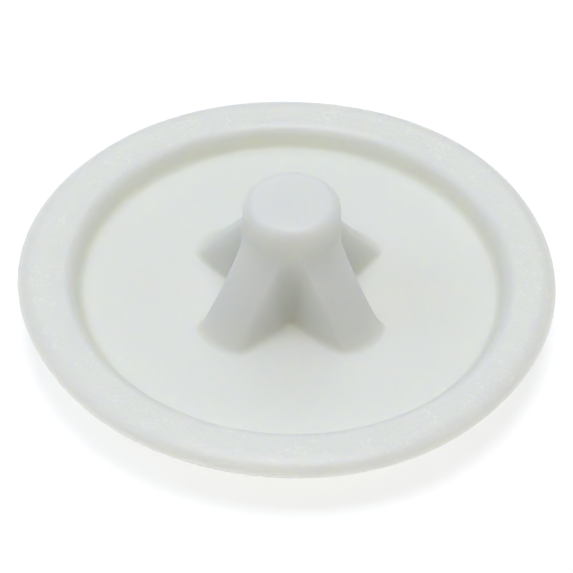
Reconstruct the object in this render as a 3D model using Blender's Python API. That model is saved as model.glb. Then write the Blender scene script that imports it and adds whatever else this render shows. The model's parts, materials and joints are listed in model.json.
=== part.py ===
# Push-in cover cap for a screw head with a type Z cross recess, size 2: one injection moulding.
#
# The cap lies on its cover face with the peg standing up.
# The origin is the centre of the flat of the cover face, and +Z runs from it along the peg.

import math

import bmesh
import bpy
from mathutils import Vector

mm = 0.001

# The round head
cap_diameter = 12.0 * mm
floor_thickness = 1.0 * mm
cover_flat_diameter = 7.0 * mm
edge_fall_width = 0.40 * mm
edge_fall_height = 0.20 * mm
lip_rounding = 0.20 * mm

# The shallow recess inside the rim
recess_depth = 0.48 * mm
rim_width = 1.12 * mm
wall_lean = 0.19 * mm
wall_top_rounding = 0.30 * mm
wall_foot_fillet = 0.08 * mm

# The round tip of the peg
tip_diameter = 2.18 * mm
tip_edge_rounding = 0.27 * mm
tip_length = 0.81 * mm

# The four fins below the tip
fin_count = 4
fin_height = 1.95 * mm
fin_reach = 2.46 * mm
fin_width_at_foot = 1.27 * mm
fin_width_at_top = 1.18 * mm
fin_corner_softness = 0.45 * mm
valley_fillet = 0.30 * mm
peg_foot_fillet = 0.10 * mm
fin_flare_power = 1.15
valley_fade_power = 1.6
least_softness = 0.01 * mm
fin_turn = math.radians(47.5)

# How deep the peg is sunk into the floor before the two are joined
peg_root_depth = 0.30 * mm

# The peg's height above the recess floor
peg_height = fin_height + tip_length

# How finely the curves are cut
turned_steps = 96
merge_distance = 0.0001 * mm
sharp_angle = math.radians(40)
end_face_steps = 4
flank_steps = 7
corner_gather = 1.6
fine_steps = 120
fin_levels = 11
fillet_steps = 3
wall_top_steps = 4
edge_steps = 5
shoulder_steps = 6

white_plastic = (0.760, 0.790, 0.755, 1.0)


def clear_objects():
    for old in list(bpy.data.objects):
        bpy.data.objects.remove(old)


def oval_arc(centre_r, centre_z, half_width, half_height, start, end, steps):
    """Points of part of an ellipse in the (r, z) plane, both ends included, angles in radians."""
    points = []
    for step in range(steps + 1):
        angle = start + (end - start) * step / steps
        points.append((centre_r + half_width * math.cos(angle), centre_z + half_height * math.sin(angle)))
    return points


def arc(centre_r, centre_z, radius, start, end, steps):
    """Points of a circular arc in the (r, z) plane, both ends included, angles in radians."""
    return oval_arc(centre_r, centre_z, radius, radius, start, end, steps)


def corner_arc(before, corner, after, radius, steps):
    """The arc of the given radius that rounds one corner of an outline in the (r, z) plane."""
    here = Vector(corner)
    back = (Vector(before) - here).normalized()
    ahead = (Vector(after) - here).normalized()
    half = back.angle(ahead) / 2
    centre = here + (back + ahead).normalized() * radius / math.sin(half)
    reach = radius / math.tan(half)
    first = here + back * reach - centre
    last = here + ahead * reach - centre
    start = math.atan2(first.y, first.x)
    sweep = math.atan2(first.x * last.y - first.y * last.x, first.dot(last))
    return arc(centre.x, centre.y, radius, start, start + sweep, steps)


def head_profile():
    """Half section of the head, from the axis out along the recess and back under the cover face."""
    cap_radius = cap_diameter / 2
    cover_flat_radius = cover_flat_diameter / 2
    land_height = floor_thickness + recess_depth
    land_inner_radius = cap_radius - rim_width
    floor_radius = land_inner_radius - wall_lean
    land_outer_radius = cap_radius - edge_fall_width
    lip_centre_r = cap_radius - lip_rounding
    lip_height = land_height - edge_fall_height

    centre_of_floor = (0.0, floor_thickness)
    wall_foot = (floor_radius, floor_thickness)
    wall_top = (land_inner_radius, land_height)
    land_outer = (land_outer_radius, land_height)

    # The shoulder is one arc that leaves the cover flat level and runs into the rounding of the lip.
    across = lip_centre_r - cover_flat_radius
    room_below_lip = lip_height - lip_rounding
    shoulder_radius = (across**2 + lip_height**2 - lip_rounding**2) / (2 * room_below_lip)
    shoulder_angle = math.atan2(lip_height - shoulder_radius, across)

    profile = [centre_of_floor]
    profile += corner_arc(centre_of_floor, wall_foot, wall_top, wall_foot_fillet, fillet_steps)
    profile += corner_arc(wall_foot, wall_top, land_outer, wall_top_rounding, wall_top_steps)
    profile += oval_arc(land_outer_radius, lip_height, edge_fall_width, edge_fall_height,
                        math.pi / 2, 0.0, edge_steps)
    profile += arc(lip_centre_r, lip_height, lip_rounding, 0.0, shoulder_angle, fillet_steps)[1:]
    profile += arc(cover_flat_radius, shoulder_radius, shoulder_radius, shoulder_angle, -math.pi / 2,
                   shoulder_steps)[1:]
    profile.append((0.0, 0.0))
    return profile


def turned_mesh(name, profile):
    """Turn a profile that starts and ends on the axis once round Z."""
    shape = bmesh.new()
    corners = [shape.verts.new((r, 0.0, z)) for r, z in profile]
    edges = [shape.edges.new(pair) for pair in zip(corners, corners[1:])]
    bmesh.ops.spin(shape, geom=corners + edges, cent=(0, 0, 0), axis=(0, 0, 1), angle=2 * math.pi,
                   steps=turned_steps)
    bmesh.ops.remove_doubles(shape, verts=shape.verts, dist=merge_distance)
    return finished_mesh(name, shape)


def finished_mesh(name, shape):
    bmesh.ops.recalc_face_normals(shape, faces=shape.faces)
    mesh = bpy.data.meshes.new(name)
    shape.to_mesh(mesh)
    shape.free()
    mesh.shade_smooth()
    mesh.set_sharp_from_angle(angle=sharp_angle)
    return mesh


def softened_min(first, second, softness):
    """The smaller of two lengths, rounded off where they are within the softness of each other."""
    overlap = max(softness - abs(first - second), 0.0)
    return min(first, second) - overlap**2 / (4 * softness)


def distance_to_fin_end(angle, end_centre):
    """How far the round end of a fin is from the axis, by angle from the fin; it is as round as the tip."""
    tip_radius = tip_diameter / 2
    reach = max(tip_radius**2 - (end_centre * math.sin(angle)) ** 2, 0.0)
    return end_centre * math.cos(angle) + math.sqrt(reach)


def distance_to_valley(angle, half_width, fillet):
    """How far the flank of a fin or the root of a valley is from the axis, by angle from the fin."""
    half_pitch = math.pi / fin_count
    root_centre = (half_width + fillet) / math.sin(half_pitch)
    tangent_angle = math.atan2(half_width, root_centre * math.cos(half_pitch))
    if angle == 0.0:
        return math.inf
    if angle < tangent_angle:
        return half_width / math.sin(angle)
    off_centre = half_pitch - angle
    reach = max(fillet**2 - (root_centre * math.sin(off_centre)) ** 2, 0.0)
    return root_centre * math.cos(off_centre) - math.sqrt(reach)


def spaced_points(points, steps, gather, towards_end):
    """Points along a line of finer points, both ends included, with steps that shrink towards one end."""
    lengths = [0.0]
    for before, after in zip(points, points[1:]):
        lengths.append(lengths[-1] + (after - before).length)
    spaced = []
    place = 0
    for step in range(steps + 1):
        share = step / steps
        share = 1 - (1 - share) ** gather if towards_end else share**gather
        target = lengths[-1] * share
        while place < len(points) - 2 and lengths[place + 1] < target:
            place += 1
        along = (target - lengths[place]) / (lengths[place + 1] - lengths[place])
        spaced.append(points[place].lerp(points[place + 1], along))
    return spaced


def half_fin(radius_at, corner_angle):
    """Half of one fin's outline, from the middle of its end face round its corner to the valley's root."""
    half_pitch = math.pi / fin_count
    parts = []
    for first, last, steps, towards_end in ((0.0, corner_angle, end_face_steps, True),
                                            (corner_angle, half_pitch, flank_steps, False)):
        fine = []
        for step in range(fine_steps + 1):
            angle = first + (last - first) * step / fine_steps
            radius = radius_at(angle)
            fine.append(Vector((radius * math.cos(angle), radius * math.sin(angle))))
        parts.append(spaced_points(fine, steps, corner_gather, towards_end))
    end_face, flank = parts
    return end_face + flank[1:]


def peg_section(height):
    """The closed outline of the peg at one height above the recess floor."""
    tip_radius = tip_diameter / 2
    half_pitch = math.pi / fin_count
    rise = min(max(height / fin_height, 0.0), 1.0)
    foot_spread = 0.0
    if height < peg_foot_fillet:
        climb = peg_foot_fillet - max(height, 0.0)
        foot_spread = peg_foot_fillet - math.sqrt(peg_foot_fillet**2 - climb**2)

    flare = (1 - rise) ** fin_flare_power
    end_centre = (fin_reach - tip_radius) * flare + foot_spread
    half_width = (fin_width_at_foot + (fin_width_at_top - fin_width_at_foot) * rise) / 2 + foot_spread

    # The valley opens out towards the tip until its root is level with the round of the tip.
    level_fillet = (tip_radius * math.sin(half_pitch) - fin_width_at_top / 2) / (1 - math.sin(half_pitch))
    fade = rise**valley_fade_power
    fillet = valley_fillet + (level_fillet - valley_fillet) * fade - foot_spread
    softness = fin_corner_softness * (1 - fade) + least_softness

    def fin_radius(angle):
        end = distance_to_fin_end(angle, end_centre)
        return softened_min(end, distance_to_valley(angle, half_width, fillet), softness)

    def tip_radius_here(angle):
        above_edge = max(height - (peg_height - tip_edge_rounding), 0.0)
        return tip_radius - tip_edge_rounding + math.sqrt(tip_edge_rounding**2 - above_edge**2)

    corner_angle = math.atan2(half_width, end_centre + math.sqrt(tip_radius**2 - half_width**2))
    half = half_fin(tip_radius_here if rise == 1.0 else fin_radius, corner_angle)
    fin = [Vector((point.x, -point.y)) for point in reversed(half[1:])] + half[:-1]
    outline = []
    for index in range(fin_count):
        turn = fin_turn + 2 * math.pi * index / fin_count
        for point in fin:
            outline.append((point.x * math.cos(turn) - point.y * math.sin(turn),
                            point.x * math.sin(turn) + point.y * math.cos(turn)))
    return outline


def peg_levels():
    """The heights above the recess floor at which the peg's outline is drawn."""
    quarter = math.pi / 2
    levels = [-peg_root_depth]
    for step in range(fillet_steps):
        levels.append(peg_foot_fillet * (1 - math.cos(quarter * step / fillet_steps)))
    for step in range(fin_levels + 1):
        levels.append(peg_foot_fillet + (fin_height - peg_foot_fillet) * step / fin_levels)
    for step in range(edge_steps + 1):
        levels.append(peg_height - tip_edge_rounding * (1 - math.sin(quarter * step / edge_steps)))
    return levels


def peg_mesh(name):
    """Bridge the peg's outlines from level to level and close both ends."""
    shape = bmesh.new()
    rings = []
    for level in peg_levels():
        corners = [shape.verts.new((x, y, floor_thickness + level)) for x, y in peg_section(level)]
        rings.append([shape.edges.new(pair) for pair in zip(corners, corners[1:] + corners[:1])])
    for lower, upper in zip(rings, rings[1:]):
        bmesh.ops.bridge_loops(shape, edges=lower + upper)
    for end in (rings[0], rings[-1]):
        bmesh.ops.contextual_create(shape, geom=end)
    return finished_mesh(name, shape)


def plastic_material():
    material = bpy.data.materials.new("white_polyethylene")
    material.use_nodes = True
    shader = material.node_tree.nodes["Principled BSDF"]
    shader.inputs["Base Color"].default_value = white_plastic
    shader.inputs["Roughness"].default_value = 0.5
    shader.inputs["Metallic"].default_value = 0.0
    return material


def add_object(name, mesh):
    made = bpy.data.objects.new(name, mesh)
    bpy.context.scene.collection.objects.link(made)
    return made


def build_cap():
    """The head with the peg joined to its floor, as one solid."""
    peg = add_object("peg_shape", peg_mesh("peg_shape"))
    peg.hide_render = True
    peg.display_type = "WIRE"

    cap = add_object("screw_cover_cap", turned_mesh("screw_cover_cap", head_profile()))
    cap.data.materials.append(plastic_material())
    join = cap.modifiers.new("join_peg", "BOOLEAN")
    join.operation = "UNION"
    join.solver = "EXACT"
    join.object = peg


clear_objects()
build_cap()
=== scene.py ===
# A push-in screw cover cap in moulded white polyethylene, lying on its cover face with its peg up.
# The cap is modelled in millimetres, as on a drawing, and brought to metres when it is finished.

import json
import math

import bmesh
import bpy
from mathutils import Matrix, Vector, noise


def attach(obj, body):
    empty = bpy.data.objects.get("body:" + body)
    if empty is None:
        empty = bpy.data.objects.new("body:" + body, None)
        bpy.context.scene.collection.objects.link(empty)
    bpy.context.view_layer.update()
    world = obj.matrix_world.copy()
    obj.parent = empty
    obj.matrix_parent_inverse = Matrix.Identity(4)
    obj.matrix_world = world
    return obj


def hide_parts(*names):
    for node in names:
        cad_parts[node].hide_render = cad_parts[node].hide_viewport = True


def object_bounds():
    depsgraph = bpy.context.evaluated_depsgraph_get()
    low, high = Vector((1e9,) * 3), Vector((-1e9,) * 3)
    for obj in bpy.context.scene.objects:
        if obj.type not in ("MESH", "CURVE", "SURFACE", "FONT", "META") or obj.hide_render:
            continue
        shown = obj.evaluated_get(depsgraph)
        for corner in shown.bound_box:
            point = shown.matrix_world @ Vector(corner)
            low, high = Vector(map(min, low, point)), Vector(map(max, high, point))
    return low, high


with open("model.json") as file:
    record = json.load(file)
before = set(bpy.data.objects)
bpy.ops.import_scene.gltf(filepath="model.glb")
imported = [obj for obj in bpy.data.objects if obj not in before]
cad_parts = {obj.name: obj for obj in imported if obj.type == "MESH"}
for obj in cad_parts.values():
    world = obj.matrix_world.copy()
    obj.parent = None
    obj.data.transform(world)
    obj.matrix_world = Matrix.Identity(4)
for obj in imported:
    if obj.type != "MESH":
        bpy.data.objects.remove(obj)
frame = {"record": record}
cadLow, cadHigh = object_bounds()

mm = 0.001
capNode = "screw_cover_cap"
turnSteps = 320          # vertices round the axis, a multiple of 8 so that each half fin gets as many
near = 0.001             # mm, how closely a place is found in edit mode
mergeDistance = 0.0005   # mm


def deselectAll():
    if bpy.context.object and bpy.context.object.mode == "EDIT":
        bpy.ops.object.mode_set(mode="OBJECT")
    bpy.ops.object.select_all(action="DESELECT")


def editShape(piece):
    # into edit mode on one piece, with nothing selected
    deselectAll()
    bpy.context.view_layer.objects.active = piece
    piece.select_set(True)
    bpy.ops.object.mode_set(mode="EDIT")
    bpy.ops.mesh.select_all(action="DESELECT")
    return bmesh.from_edit_mesh(piece.data)


def selectWhere(shape, kind, test):
    # select the verts, edges or faces whose centre passes the test
    bpy.ops.mesh.select_all(action="DESELECT")
    bpy.context.tool_settings.mesh_select_mode = (kind == "verts", kind == "edges", kind == "faces")
    for part in getattr(shape, kind):
        if kind == "verts":
            centre = part.co
        elif kind == "edges":
            centre = (part.verts[0].co + part.verts[1].co) / 2
        else:
            centre = part.calc_center_median()
        if test(centre):
            part.select_set(True)
    shape.select_flush_mode()


def radiusOf(point):
    return math.hypot(point.x, point.y)


def finishMesh(piece):
    # back to object mode, doubles merged and normals outwards
    bpy.ops.mesh.select_all(action="SELECT")
    bpy.ops.mesh.remove_doubles(threshold=mergeDistance)
    bpy.ops.mesh.normals_make_consistent(inside=False)
    bpy.ops.object.mode_set(mode="OBJECT")


# The round head: a profile drawn corner by corner, rounded and spun.
landPoint = [m for m in frame["record"]["mounts"] if m["name"] == "rim_seat"][0]["pos_m"]

head = {
    "capRadius": (cadHigh.x - cadLow.x) / 2 / mm,
    "landHeight": landPoint[2] / mm,
    "recessDepth": 0.48,
    "patchRadius": 3.2,          # where the floor round the peg takes over
    "floorRadius": 4.69,
    "floorRounding": 0.16,
    "floorRoundingSteps": 5,
    "wallTopRadius": 4.88,
    "wallTopRounding": 0.30,
    "wallTopSteps": 7,
    "edgeFallWidth": 0.44,       # the land bends down over this width to the widest line
    "edgeFallHeight": 0.30,
    "edgeFallSteps": 8,
    "lipRounding": 0.05,
    "lipSteps": 5,
    "coverSteps": 14,
    "coverFlatRadius": 3.5,
    "coverGridRadius": 3.0,      # inside this the flat of the cover is a grid
    # straight runs to cut: the corner each starts from, how near its middle to look, and the cuts
    "runCuts": ((0, 0.20, 7), (2, 0.15, 5), (1, 0.12, 2)),
}
floorHeight = head["landHeight"] - head["recessDepth"]


def roundCorner(shape, place, before, after, radius, steps):
    # a vertex bevel that leaves an arc of this radius between two straight runs
    toBefore = (Vector(before) - Vector(place)).normalized()
    toAfter = (Vector(after) - Vector(place)).normalized()
    reach = radius / math.tan(toBefore.angle(toAfter) / 2)
    corner = Vector((place[0], 0, place[1]))
    selectWhere(shape, "verts", lambda p: (p - corner).length < near)
    bpy.ops.mesh.bevel(offset=reach, offset_type="OFFSET", segments=steps, affect="VERTICES",
                       profile=0.5, clamp_overlap=False)


def ovalPoints(centre, halfWidth, halfHeight, start, end, steps):
    points = []
    for step in range(steps + 1):
        angle = start + (end - start) * step / steps
        points.append((centre[0] + halfWidth * math.cos(angle), centre[1] + halfHeight * math.sin(angle)))
    return points


def edgePoints():
    # from the outer line of the land down over the edge and under it to the flat of the cover
    lip = head["lipRounding"]
    flatR = head["coverFlatRadius"]
    lipZ = head["landHeight"] - head["edgeFallHeight"]
    lipR = head["capRadius"] - lip
    fallR = head["capRadius"] - head["edgeFallWidth"]
    across = lipR - flatR
    shoulder = (across ** 2 + lipZ ** 2 - lip ** 2) / (2 * (lipZ - lip))
    slope = math.atan2(lipZ - shoulder, across)
    fall = ovalPoints((fallR, lipZ), head["edgeFallWidth"], head["edgeFallHeight"],
                      math.pi / 2, 0, head["edgeFallSteps"])
    under = ovalPoints((lipR, lipZ), lip, lip, 0, slope, head["lipSteps"])
    cover = ovalPoints((flatR, shoulder), shoulder, shoulder, slope, -math.pi / 2, head["coverSteps"])
    return fall + under[1:] + cover[1:]


def makeHead():
    land = head["landHeight"]
    corners = [
        (head["patchRadius"], floorHeight),
        (head["floorRadius"], floorHeight),
        (head["wallTopRadius"], land),
        *edgePoints(),
        (head["coverGridRadius"], 0.0),
    ]
    deselectAll()
    bpy.ops.mesh.primitive_plane_add(size=0.1, location=(corners[0][0], 0, corners[0][1]))
    piece = bpy.context.object
    piece.name = "moulded_cover_cap"
    bpy.ops.object.transform_apply(location=True)
    editShape(piece)
    bpy.ops.mesh.select_all(action="SELECT")
    bpy.ops.mesh.merge(type="CENTER")
    for here, there in zip(corners, corners[1:]):
        step = (there[0] - here[0], 0, there[1] - here[1])
        bpy.ops.mesh.extrude_region_move(TRANSFORM_OT_translate={"value": step})

    shape = bmesh.from_edit_mesh(piece.data)
    roundCorner(shape, corners[1], corners[0], corners[2], head["floorRounding"], head["floorRoundingSteps"])
    roundCorner(shape, corners[2], corners[1], corners[3], head["wallTopRounding"], head["wallTopSteps"])

    # cut the straight runs into rings, so that the faces stay about as long as they are wide
    for index, reach, cuts in head["runCuts"]:
        middle = (Vector(corners[index]) + Vector(corners[index + 1])) / 2
        place = Vector((middle.x, 0, middle.y))
        selectWhere(shape, "edges", lambda p: (p - place).length < reach)
        bpy.ops.mesh.subdivide(number_cuts=cuts)

    bpy.ops.mesh.select_all(action="SELECT")
    bpy.ops.mesh.spin(steps=turnSteps, angle=2 * math.pi, center=(0, 0, 0), axis=(0, 0, 1))
    bpy.ops.mesh.select_all(action="SELECT")
    bpy.ops.mesh.remove_doubles(threshold=mergeDistance)

    # close the flat of the cover face with a grid
    shape = bmesh.from_edit_mesh(piece.data)
    gridEdge = head["coverGridRadius"]
    selectWhere(shape, "edges", lambda p: p.z < near and abs(radiusOf(p) - gridEdge) < near)
    bpy.ops.mesh.fill_grid(span=turnSteps // 4)
    bpy.ops.object.mode_set(mode="OBJECT")
    print("head:", len(piece.data.vertices), "vertices")
    return piece


# The peg: one ring of vertices extruded from level to level, each set on the fin outline.
peg = {
    "tipRadius": 1.09,
    "tipRounding": 0.27,
    "tipDish": 0.012,            # the end sinks a little in the middle as it cools
    "finHeight": 1.95,
    "finReach": 2.46,            # from the axis to the foot of a fin, at the middle of its round end
    "widthAtFoot": 1.39,
    "widthAtTop": 1.14,
    "cornerSoftness": 0.60,
    "leastSoftness": 0.01,
    "valleyFillet": 0.20,
    "footFillet": 0.10,
    "flarePower": 1.15,
    "valleyFade": 1.6,
    "turn": 47.5,                # degrees from +X to the first fin
    # rings of vertices: over the floor, the foot fillet, the fins, the tip and its rounding
    "floorRings": 10,
    "filletRings": 6,
    "finRings": 26,
    "tipRings": 4,
    "roundingRings": 8,
    "endShares": (0.9, 0.75, 0.55, 0.3, 0.1),
    "outlineSamples": 200,       # finer points that the vertices of a ring are picked from
    "cornerGather": 1.35,        # over 1 the vertices gather at the corners of the fins
}
finCount = 4
pegHeight = cadHigh.z / mm - floorHeight
halfPitch = math.pi / finCount


def softMin(first, second, softness):
    overlap = max(softness - abs(first - second), 0.0)
    return min(first, second) - overlap ** 2 / (4 * softness)


def endRadius(angle, endCentre):
    # from the axis to a fin's round end, which is as round as the tip
    reach = max(peg["tipRadius"] ** 2 - (endCentre * math.sin(angle)) ** 2, 0.0)
    return endCentre * math.cos(angle) + math.sqrt(reach)


def valleyRadius(angle, halfWidth, fillet):
    # from the axis to a fin's flank, or to the round root of the valley between two fins
    rootCentre = (halfWidth + fillet) / math.sin(halfPitch)
    if angle == 0.0:
        return math.inf
    if angle < math.atan2(halfWidth, rootCentre * math.cos(halfPitch)):
        return halfWidth / math.sin(angle)
    offCentre = halfPitch - angle
    reach = max(fillet ** 2 - (rootCentre * math.sin(offCentre)) ** 2, 0.0)
    return rootCentre * math.cos(offCentre) - math.sqrt(reach)


def spaced(fine, steps, gather, towardsEnd):
    # points along a finer line, closer together towards one end
    lengths = [0.0]
    for here, there in zip(fine, fine[1:]):
        lengths.append(lengths[-1] + (there - here).length)
    points = []
    place = 0
    for step in range(steps + 1):
        share = step / steps
        share = 1 - (1 - share) ** gather if towardsEnd else share ** gather
        target = lengths[-1] * share
        while place < len(fine) - 2 and lengths[place + 1] < target:
            place += 1
        along = (target - lengths[place]) / (lengths[place + 1] - lengths[place])
        points.append(fine[place].lerp(fine[place + 1], along))
    return points


def finOutline(height):
    # the whole outline at a height over the recess floor, from the middle of the fin on +X
    rise = min(max(height / peg["finHeight"], 0.0), 1.0)
    spread = 0.0
    if height < peg["footFillet"]:
        climb = peg["footFillet"] - max(height, 0.0)
        spread = peg["footFillet"] - math.sqrt(peg["footFillet"] ** 2 - climb ** 2)
    flare = (1 - rise) ** peg["flarePower"]
    endCentre = (peg["finReach"] - peg["tipRadius"]) * flare + spread
    halfWidth = (peg["widthAtTop"] + (peg["widthAtFoot"] - peg["widthAtTop"]) * flare) / 2 + spread
    sine = math.sin(halfPitch)
    levelFillet = (peg["tipRadius"] * sine - peg["widthAtTop"] / 2) / (1 - sine)
    fade = rise ** peg["valleyFade"]
    fillet = peg["valleyFillet"] + (levelFillet - peg["valleyFillet"]) * fade - spread
    softness = peg["cornerSoftness"] * (1 - fade) + peg["leastSoftness"]
    rounding = peg["tipRounding"]
    aboveEdge = max(height - (pegHeight - rounding), 0.0)
    tipRadius = peg["tipRadius"] - rounding + math.sqrt(max(rounding ** 2 - aboveEdge ** 2, 0.0))

    def radiusAt(angle):
        if rise == 1.0:
            return tipRadius
        return softMin(endRadius(angle, endCentre), valleyRadius(angle, halfWidth, fillet), softness)

    cornerAngle = math.atan2(halfWidth, endCentre + math.sqrt(peg["tipRadius"] ** 2 - halfWidth ** 2))
    half = []
    samples = peg["outlineSamples"]
    halfSteps = turnSteps // (2 * finCount)
    faceSteps = halfSteps // 3
    for first, last, steps, towardsEnd in ((0.0, cornerAngle, faceSteps, True),
                                           (cornerAngle, halfPitch, halfSteps - faceSteps, False)):
        angles = [first + (last - first) * step / samples for step in range(samples + 1)]
        fine = [Vector((radiusAt(a) * math.cos(a), radiusAt(a) * math.sin(a))) for a in angles]
        half += spaced(fine, steps, peg["cornerGather"], towardsEnd)[1 if half else 0:]
    fin = half[:-1] + [Vector((p.y, p.x)) for p in reversed(half[1:])]
    outline = []
    for index in range(finCount):
        turn = Matrix.Rotation(index * 2 * halfPitch, 2)
        outline += [turn @ point for point in fin]
    return outline


def angleOf(point):
    # from 0 to a full turn, with a little slack so that the first point always sorts first
    slack = 0.0005
    return (math.atan2(point.y, point.x) + slack) % (2 * math.pi)


def setRing(shape, outline, height):
    # put the selected ring on an outline, matched by angle
    ring = sorted((v for v in shape.verts if v.select), key=lambda v: angleOf(v.co))
    for vertex, point in zip(ring, sorted(outline, key=angleOf)):
        vertex.co = (point.x, point.y, floorHeight + height)


def extrudeTo(piece, outline, height):
    bpy.ops.mesh.extrude_region_move()
    shape = bmesh.from_edit_mesh(piece.data)
    setRing(shape, outline, height)
    bmesh.update_edit_mesh(piece.data)


def pegHeights():
    # the height of each ring over the recess floor, from the foot to the edge of the flat end
    fillet = peg["footFillet"]
    straightTop = pegHeight - peg["tipRounding"]
    quarter = math.pi / 2
    heights = []
    for step in range(1, peg["filletRings"] + 1):
        heights.append(fillet * (1 - math.cos(quarter * step / peg["filletRings"])))
    for step in range(1, peg["finRings"] + 1):
        heights.append(fillet + (peg["finHeight"] - fillet) * step / peg["finRings"])
    for step in range(1, peg["tipRings"] + 1):
        heights.append(peg["finHeight"] + (straightTop - peg["finHeight"]) * step / peg["tipRings"])
    for step in range(1, peg["roundingRings"] + 1):
        heights.append(straightTop + peg["tipRounding"] * math.sin(quarter * step / peg["roundingRings"]))
    return heights


def makePeg():
    deselectAll()
    bpy.ops.mesh.primitive_circle_add(vertices=turnSteps, radius=head["patchRadius"],
                                      location=(0, 0, floorHeight))
    piece = bpy.context.object
    bpy.ops.object.transform_apply(location=True)
    shape = editShape(piece)
    bpy.ops.mesh.select_all(action="SELECT")
    bpy.context.tool_settings.mesh_select_mode = (True, False, False)
    rim = sorted((v.co.xy.copy() for v in shape.verts), key=angleOf)
    foot = finOutline(0.0)

    for ring in range(1, peg["floorRings"] + 1):
        share = ring / peg["floorRings"]
        extrudeTo(piece, [a.lerp(b, share) for a, b in zip(rim, foot)], 0.0)
    for height in pegHeights():
        extrudeTo(piece, finOutline(height), height)

    # the flat end, very slightly dished by shrinkage
    for share in peg["endShares"]:
        sunk = peg["tipDish"] * (1 - share ** 2)
        extrudeTo(piece, [p * share for p in finOutline(pegHeight)], pegHeight - sunk)
    bpy.ops.mesh.extrude_region_move(TRANSFORM_OT_translate={"value": (0, 0, -peg["tipDish"] * 0.01)})
    bpy.ops.mesh.merge(type="CENTER")
    bpy.ops.object.mode_set(mode="OBJECT")
    print("peg:", len(piece.data.vertices), "vertices")
    return piece


# The finish of the moulding: grain on the land and the small waves of the outline.
moulding = {
    "grainCuts": 2,
    "grainSize": 0.075,          # mm between bumps, spark-eroded grain on the land
    "grainHeight": 0.022,
    "grainScales": (0.9, 1.6),   # a coarse and a fine pattern, half of each
    "deepestPit": 0.05,          # share of the height that the ground may sink
    "cutDepth": 0.13,            # the land is cut finer down to this far below its level
    "grainStarts": (0.04, 0.18),  # mm outside the wall's top, from nothing to full grain
    "grainEnds": (0.14, 0.03),   # mm inside the widest line, from full grain to nothing
    "grainFalls": (0.06, 0.16),  # mm below the land, from full grain to nothing
    "waveStarts": 0.05,          # mm outside the wall's top
    "waveFull": 0.2,             # mm inside the widest line
    # small waves of the rim's outline: waves round the rim, mm, degrees of a crest
    "outlineWaves": ((1, 0.045, 175), (1, 0.035, 90), (2, 0.020, 32), (3, 0.045, 41), (6, 0.013, -7)),
}


def smoothStep(low, high, value):
    share = min(max((value - low) / (high - low), 0.0), 1.0)
    return share * share * (3 - 2 * share)


def grainAmount(point):
    r = radiusOf(point)
    starts, fullFrom = (head["wallTopRadius"] + past for past in moulding["grainStarts"])
    fullTo, ends = (head["capRadius"] - short for short in moulding["grainEnds"])
    level, lowest = (head["landHeight"] - fall for fall in moulding["grainFalls"])
    inner = smoothStep(starts, fullFrom, r)
    outer = 1 - smoothStep(fullTo, ends, r)
    above = smoothStep(lowest, level, point.z)
    return inner * outer * above


def grainAt(point):
    # separate round peaks on a level ground
    place = Vector((point.x, point.y, 0)) / moulding["grainSize"]
    coarseScale, fineScale = moulding["grainScales"]
    coarse = noise.noise(place * coarseScale)
    fine = noise.noise(place * fineScale + Vector((31, 7, 3)))
    return max(0.5 * coarse + 0.5 * fine, -moulding["deepestPit"])


def outlineShift(angle):
    total = 0.0
    for waves, size, crest in moulding["outlineWaves"]:
        total += size * math.cos(waves * (angle - math.radians(crest)))
    return total


def finishMoulding(piece):
    shape = editShape(piece)
    lowest = head["landHeight"] - moulding["cutDepth"]
    selectWhere(shape, "faces", lambda p: p.z > lowest and radiusOf(p) > head["wallTopRadius"])
    bpy.ops.mesh.subdivide(number_cuts=moulding["grainCuts"])
    bpy.ops.object.mode_set(mode="OBJECT")
    waveStart = head["wallTopRadius"] + moulding["waveStarts"]
    waveEnd = head["capRadius"] - moulding["waveFull"]
    for vertex in piece.data.vertices:
        point = vertex.co
        amount = grainAmount(point)
        if amount > 0:
            point.z += moulding["grainHeight"] * amount * grainAt(point)
        share = smoothStep(waveStart, waveEnd, radiusOf(point))
        if share > 0:
            shift = outlineShift(math.atan2(point.y, point.x)) * share
            scale = 1 + shift / radiusOf(point)
            point.x *= scale
            point.y *= scale


def makeCap():
    piece = makeHead()
    pegPiece = makePeg()
    deselectAll()
    pegPiece.select_set(True)
    piece.select_set(True)
    bpy.context.view_layer.objects.active = piece
    bpy.ops.object.join()
    editShape(piece)
    finishMesh(piece)
    piece.rotation_euler.z = math.radians(peg["turn"])
    bpy.ops.object.transform_apply(rotation=True)
    finishMoulding(piece)
    piece.scale = (mm, mm, mm)
    bpy.ops.object.transform_apply(scale=True)
    bpy.ops.object.shade_smooth()
    print("cap:", len(piece.data.polygons), "faces")
    return piece


def linearColour(code):
    channels = []
    for index in (0, 2, 4):
        value = int(code[index:index + 2], 16) / 255
        channels.append(value / 12.92 if value <= 0.04045 else ((value + 0.055) / 1.055) ** 2.4)
    return (*channels, 1.0)


def addNode(tree, kind, settings=None, links=None):
    # one node with its settings and incoming links, given by socket name
    node = tree.nodes.new(kind)
    for name, value in (settings or {}).items():
        if name in node.inputs:
            node.inputs[name].default_value = value
        else:
            setattr(node, name, value)
    for name, source in (links or {}).items():
        tree.links.new(source, node.inputs[name])
    return node


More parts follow.
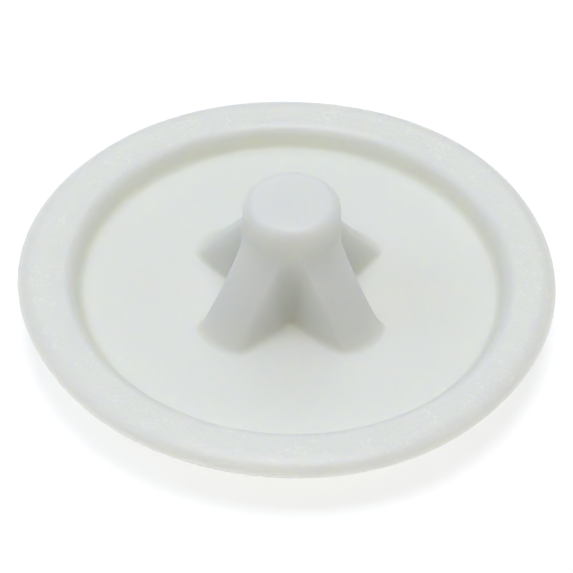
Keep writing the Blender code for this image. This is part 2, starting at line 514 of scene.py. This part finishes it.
polyethylene = {
    "colour": "EFF1EC",
    "colourDeep": "ECEEE8",
    "roughness": 0.36,
    "scatterDepth": 0.75 * mm,
    "scatterTint": (1.0, 0.9, 0.6),  # red light goes deepest, so thin edges are a little warm
    "cloudSize": 2.5 * mm,       # pigment that isn't quite evenly mixed
    "grainSize": 0.075 * mm,     # drawn coarser than the real 0.01 mm so that it shows
    # painted glints: a paler colour mixed into the base colour at the peaks of the fine grain, in place of
    # highlights off the grain
    "paintedGlintColour": "F6F7F3",
    "paintedGlintRange": (0.54, 0.68),   # how much of the grain gets painted glints: lower is more
    "glintPatchSize": 0.45 * mm,      # the painted glints come out stronger in patches
    "glintPatchRange": (0.42, 0.62),
    "bumpHeight": 0.006 * mm,
    "bumpPlain": 0.15,
    "bumpOnLand": 0.9,
    "landFrom": 4.95 * mm,
    "landTo": 5.90 * mm,
    "landFade": 0.12 * mm,
}


def mouldedPolyethylene():
    # white pigmented polyethylene, injection moulded: milky, waxy, a broad soft gloss
    material = bpy.data.materials.new("mouldedPolyethylene")
    material.use_nodes = True
    tree = material.node_tree
    tree.nodes.clear()
    place = addNode(tree, "ShaderNodeTexCoord")
    clouds = addNode(tree, "ShaderNodeTexNoise", {"Scale": 1 / polyethylene["cloudSize"], "Detail": 3.0},
                     {"Vector": place.outputs["Object"]})
    # a Mix node takes its two colours at inputs 6 and 7 and gives the mixed one at output 2
    tint = addNode(tree, "ShaderNodeMix", {"data_type": "RGBA"}, {"Factor": clouds.outputs["Fac"]})
    tint.inputs[6].default_value = linearColour(polyethylene["colour"])
    tint.inputs[7].default_value = linearColour(polyethylene["colourDeep"])
    fine = addNode(tree, "ShaderNodeTexNoise", {"Scale": 1 / polyethylene["grainSize"], "Detail": 2.0},
                   {"Vector": place.outputs["Object"]})

    # a mask of the land from the distance to the axis: the grain bump is strongest there and the painted
    # glints fall only there
    flat = addNode(tree, "ShaderNodeVectorMath", {"operation": "MULTIPLY"}, {0: place.outputs["Object"]})
    flat.inputs[1].default_value = (1, 1, 0)
    distance = addNode(tree, "ShaderNodeVectorMath", {"operation": "LENGTH"}, {0: flat.outputs["Vector"]})
    landFrom, landTo, fade = (polyethylene[name] for name in ("landFrom", "landTo", "landFade"))
    inner = addNode(tree, "ShaderNodeMapRange", {"From Min": landFrom, "From Max": landFrom + fade},
                    {"Value": distance.outputs["Value"]})
    outer = addNode(tree, "ShaderNodeMapRange", {"From Min": landTo, "From Max": landTo - fade},
                    {"Value": distance.outputs["Value"]})
    land = addNode(tree, "ShaderNodeMath", {"operation": "MULTIPLY"},
                   {0: inner.outputs["Result"], 1: outer.outputs["Result"]})

    # painted glints: the peaks of the fine grain made paler in the base colour on the land, stronger in
    # patches, in place of highlights off the grain
    least, most = polyethylene["paintedGlintRange"]
    peaks = addNode(tree, "ShaderNodeMapRange", {"From Min": least, "From Max": most},
                    {"Value": fine.outputs["Fac"]})
    patches = addNode(tree, "ShaderNodeTexNoise", {"Scale": 1 / polyethylene["glintPatchSize"], "Detail": 1.0},
                      {"Vector": place.outputs["Object"]})
    least, most = polyethylene["glintPatchRange"]
    rough = addNode(tree, "ShaderNodeMapRange", {"From Min": least, "From Max": most},
                    {"Value": patches.outputs["Fac"]})
    paintedGlints = addNode(tree, "ShaderNodeMath", {"operation": "MULTIPLY"},
                     {0: peaks.outputs["Result"], 1: rough.outputs["Result"]})
    paintedGlintMask = addNode(tree, "ShaderNodeMath", {"operation": "MULTIPLY"},
                    {0: land.outputs["Value"], 1: paintedGlints.outputs["Value"]})
    # the base colour made paler where the painted glints fall
    colour = addNode(tree, "ShaderNodeMix", {"data_type": "RGBA"},
                     {"Factor": paintedGlintMask.outputs["Value"], 6: tint.outputs[2]})
    colour.inputs[7].default_value = linearColour(polyethylene["paintedGlintColour"])

    strength = addNode(tree, "ShaderNodeMapRange", {"To Min": polyethylene["bumpPlain"],
                                                    "To Max": polyethylene["bumpOnLand"]},
                       {"Value": land.outputs["Value"]})
    bump = addNode(tree, "ShaderNodeBump", {"Distance": polyethylene["bumpHeight"]},
                   {"Height": fine.outputs["Fac"], "Strength": strength.outputs["Result"]})
    shader = addNode(tree, "ShaderNodeBsdfPrincipled", {
        "Roughness": polyethylene["roughness"],
        "IOR": 1.51,
        "Subsurface Weight": 1.0,
        "Subsurface Scale": polyethylene["scatterDepth"],
    }, {"Base Color": colour.outputs[2], "Normal": bump.outputs["Normal"]})
    shader.inputs["Subsurface Radius"].default_value = polyethylene["scatterTint"]
    addNode(tree, "ShaderNodeOutputMaterial", None, {"Surface": shader.outputs["BSDF"]})
    print("polyethylene:", len(tree.nodes), "nodes")
    return material


studio = {
    "lampDistance": 0.30,
    # name: degrees round from +X, degrees up, size in metres, watts, colour
    "softboxes": {
        "overhead": (0, 90, 0.14, 0.338, (0.90, 0.87, 0.99)),
        "leftFill": (180, 50, 0.20, 0.162, (0.55, 0.71, 1.0)),
        "rightFill": (0, 50, 0.20, 0.075, (0.48, 0.70, 1.0)),
        "frontCard": (-90, 60, 0.20, 0.080, (1.0, 0.97, 0.90)),
        "backFill": (90, 55, 0.20, 0.180, (0.83, 0.93, 1.0)),
    },
    "roomLight": 0.148,
    "roomColour": (1.0, 0.90, 0.64, 1.0),
}

shootingTable = {
    "size": 3.0,
    "colour": "DADADA",
    "roughness": 0.8,
    "gloss": 0.2,
    "glow": 0.49,
    "glowColour": "FFFFFF",
}


def opalAcrylic():
    # opal acrylic shooting table lit faintly from below, so that the shadow under the cap stays light
    material = bpy.data.materials.new("underlitOpalAcrylic")
    material.use_nodes = True
    shader = material.node_tree.nodes["Principled BSDF"]
    shader.inputs["Base Color"].default_value = linearColour(shootingTable["colour"])
    shader.inputs["Roughness"].default_value = shootingTable["roughness"]
    shader.inputs["Specular IOR Level"].default_value = shootingTable["gloss"]
    shader.inputs["Emission Color"].default_value = linearColour(shootingTable["glowColour"])
    shader.inputs["Emission Strength"].default_value = shootingTable["glow"]
    return material


def addTable():
    deselectAll()
    bpy.ops.mesh.primitive_plane_add(size=shootingTable["size"], location=(0, 0, 0))
    table = bpy.context.object
    table.name = "table"
    table.data.materials.append(opalAcrylic())
    print("table: in place")


def addSoftbox(name, bearing, up, size, watts, colour):
    # a square lamp on a sphere round the cap, facing it
    light = bpy.data.lights.new(name, "AREA")
    light.shape = "SQUARE"
    light.size = size
    light.energy = watts
    light.color = colour
    lamp = bpy.data.objects.new(name, light)
    turn = math.radians(bearing)
    rise = math.radians(up)
    away = Vector((math.cos(turn) * math.cos(rise), math.sin(turn) * math.cos(rise), math.sin(rise)))
    lamp.location = away * studio["lampDistance"]
    lamp.rotation_euler = (-away).to_track_quat("-Z", "Y").to_euler()
    bpy.context.scene.collection.objects.link(lamp)


def addStudio():
    world = bpy.data.worlds.new("paleRoom")
    world.use_nodes = True
    background = world.node_tree.nodes["Background"]
    background.inputs["Color"].default_value = studio["roomColour"]
    background.inputs["Strength"].default_value = studio["roomLight"]
    bpy.context.scene.world = world
    for name, settings in studio["softboxes"].items():
        addSoftbox(name, *settings)
    bpy.context.scene.view_settings.view_transform = "Standard"
    print("studio:", len(studio["softboxes"]), "softboxes")


cameraStand = {
    "distance": 0.120,
    "elevation": 44.1,           # degrees above the table
    "roll": 1.64,
    "lens": 337.0,
    "sensorWidth": 36,
    "clipping": (0.005, 10.0),
    "aimRight": -0.069 * mm,     # from the middle of the recess floor
    "aimUp": 0.087 * mm,
}


def addCamera():
    data = bpy.data.cameras.new("camera")
    data.lens = cameraStand["lens"]
    data.sensor_width = cameraStand["sensorWidth"]
    data.clip_start, data.clip_end = cameraStand["clipping"]
    camera = bpy.data.objects.new("camera", data)
    elevation = math.radians(cameraStand["elevation"])
    back = Vector((0, -math.cos(elevation), math.sin(elevation)))
    roll = Matrix.Rotation(math.radians(cameraStand["roll"]), 3, "Z").to_quaternion()
    facing = (-back).to_track_quat("-Z", "Y") @ roll
    aside = Vector((cameraStand["aimRight"], cameraStand["aimUp"], 0))
    aim = Vector((0, 0, floorHeight * mm)) + facing @ aside
    camera.rotation_mode = "QUATERNION"
    camera.rotation_quaternion = facing
    camera.location = aim + back * cameraStand["distance"]
    bpy.context.scene.collection.objects.link(camera)
    bpy.context.scene.camera = camera
    print("camera:", cameraStand["elevation"], "degrees up")


addCamera()
addStudio()
addTable()
cap = makeCap()
cap.data.materials.clear()
cap.data.materials.append(mouldedPolyethylene())
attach(cap, "root")
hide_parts(capNode)
